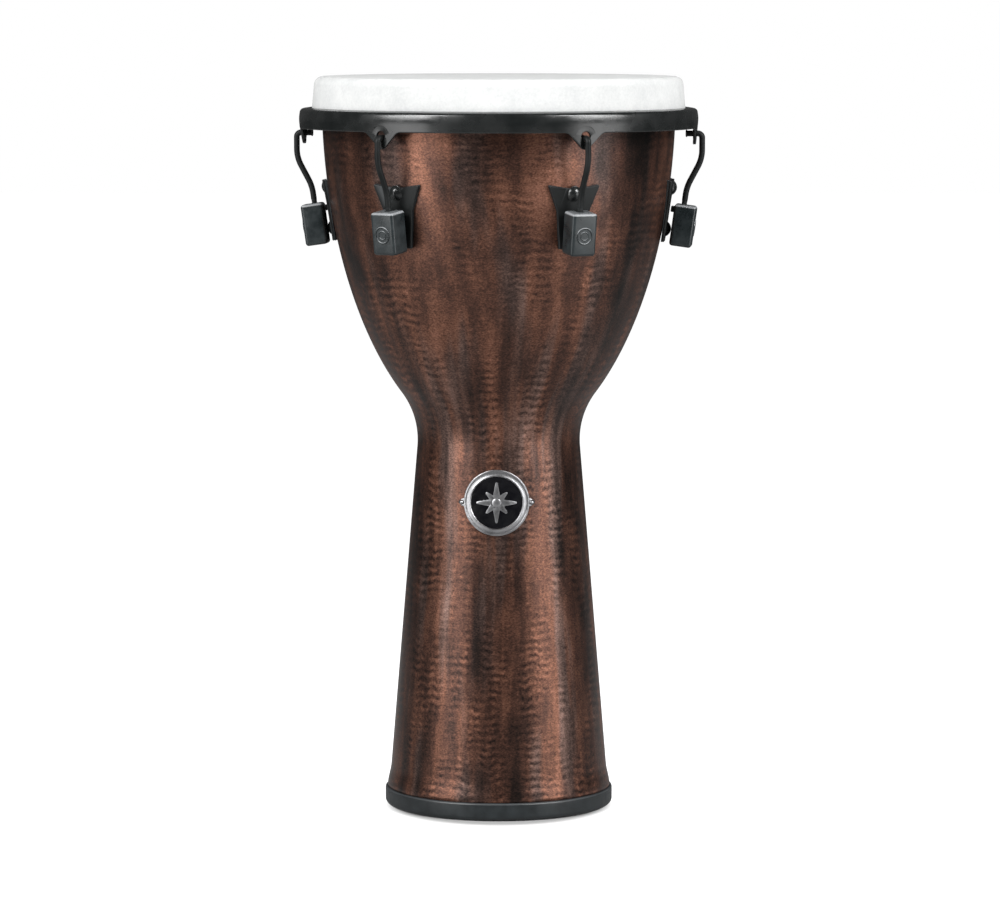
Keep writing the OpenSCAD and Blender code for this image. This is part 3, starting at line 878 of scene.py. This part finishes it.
def build_badge_nails():
    """The domed heads of the two nails, on the rim's ears."""
    nail_x, head_r, low, side_z = 30.05, 2.1, 1.0, 1.3
    profile = [(0, low), (head_r - 0.1, low), (head_r, side_z), *arc(0, side_z, head_r, 8, 90, 7)]
    nail = revolve(profile, 32)
    nails = on_leg(joined([moved(nail, Matrix.Translation((x, 0, 0))) for x in (-nail_x, nail_x)]))
    piece("badge_nail_heads", nails, SILVER, "shell_body", ["badge_pins"])


def dress_cad_nodes():
    """Gives the CAD nodes that stay in view their own finishes."""
    looks = {"nut_washers": ZINC, "backing_washers": ZINC, "lock_nuts": ZINC, "lug_gaskets": FOOT}
    looks.update({f"tuning_nut_{i}": ZINC for i in range(1, LUGS + 1)})
    for node, material in looks.items():
        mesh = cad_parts[node].data
        mesh.materials.clear()
        mesh.materials.append(material)


# ---------- studio ----------

def area_light(name, place, target, size, power):
    """A white box light at place that faces target, with its size in metres and its power in watts."""
    light = bpy.data.lights.new(name, "AREA")
    light.shape = "RECTANGLE"
    light.size, light.size_y = size
    light.energy = power
    obj = bpy.data.objects.new(name, light)
    obj.location = place
    obj.rotation_euler = (Vector(target) - Vector(place)).to_track_quat("-Z", "Y").to_euler()
    scene.collection.objects.link(obj)


def white_to_view(tree, other):
    """1 where the view itself lands, and other where light does, so that the backdrop is plain white."""
    path = tree.nodes.new("ShaderNodeLightPath")
    node = tree.nodes.new("ShaderNodeMath")
    node.operation = "MAXIMUM"
    tree.links.new(path.outputs["Is Camera Ray"], node.inputs[0])
    node.inputs[1].default_value = other
    return node.outputs[0]


def build_floor():
    """Painted shadow: a grey oval round the foot, which the drum's own shadow also falls in, and white
    beyond.
    """
    half, reach_x, reach_y, forward, fade_from = 12, 0.104, 0.112, 0.015, 0.80
    corners = [(-half, -half, 0), (half, -half, 0), (half, half, 0), (-half, half, 0)]
    mesh = bpy.data.meshes.new("floor")
    mesh.from_pydata(corners, [], [(0, 1, 2, 3)])
    floor = bpy.data.objects.new("floor", mesh)
    scene.collection.objects.link(floor)
    n = Nodes("pale_floor", specular_ior_level=0.1, roughness=0.9)
    # The oval's grey is painted shadow. It is moved towards the front and fades into the white backdrop
    # from fade_from of its reach.
    at = n.add("VectorMath", {0: n.at, 1: (0, forward, 0)}, operation="ADD").outputs[0]
    at = n.scaled(at, (1 / reach_x, 1 / reach_y, 1.0))
    distance = n.add("VectorMath", {0: at}, operation="LENGTH").outputs["Value"]
    white = n.ranged(distance, fade_from, 1.0)
    n.set(base_color=(0.35, 0.35, 0.35), emission_color=(1, 1, 1))
    n.set(emission_strength=n.math("MULTIPLY", white, white_to_view(n.tree, 0.0)))
    mesh.materials.append(n.material)


def build_world():
    """A white backdrop to the view, and a dim even light to the drum."""
    world = bpy.data.worlds.new("studio")
    scene.world = world
    world.use_nodes = True
    background = world.node_tree.nodes["Background"]
    background.inputs["Color"].default_value = (1, 1, 1, 1)
    world.node_tree.links.new(white_to_view(world.node_tree, 0.08), background.inputs["Strength"])


def build_lights():
    """Box lights at each side of the drum's front, and a weak one over its back."""
    distance, aim = 1.7, (0, 0, 0.5)
    for name, side, azimuth, width, bright in (("left", -1, 53, 0.85, 19.0), ("right", 1, 58, 0.90, 17.5)):
        # A dim box near the floor, a bright strip, and a brighter one that is higher and nearer the front.
        # Each is (level, degrees nearer the front, height of its middle, its own height, radiance)
        boxes = (
            ("low", 0, 0.30, 0.60, 4.2),
            ("high", 0, 1.16, 0.38, bright),
            ("crown", 8, 1.65, 0.36, 1.7 * bright),
        )
        for level, inward, z, height, radiance in boxes:
            turn = math.radians(side * (azimuth - inward))
            place = (distance * math.sin(turn), -distance * math.cos(turn), z)
            power = math.pi * width * height * radiance
            area_light(f"{name}_{level}_box", place, aim, (width, height), power)
    area_light("top_box", (0, 0.8, 2.2), (0, 0, 0.6), (0.8, 0.8), 10)


def build_camera():
    """The camera that was fitted to the hoop's and the foot's ellipses in the photograph."""
    place, pitch, lens, sensor = (0.0011, -3.8, 0.691), 84.14, 160.25, 36
    camera = bpy.data.cameras.new("camera")
    camera.sensor_width = sensor
    camera.lens = lens
    camera.clip_end = 100
    obj = bpy.data.objects.new("camera", camera)
    obj.location = place
    obj.rotation_euler = (math.radians(pitch), 0, 0)
    scene.collection.objects.link(obj)
    scene.camera = obj


build_shell()
build_foot_ring()
build_head()
build_flesh_hoop()
build_counterhoop()
build_rods()
build_lugs()
build_badge_rim()
build_badge_disc()
build_badge_sunburst()
build_badge_nails()
dress_cad_nodes()
build_floor()
build_world()
build_lights()
build_camera()
scene.view_settings.view_transform = "Standard"
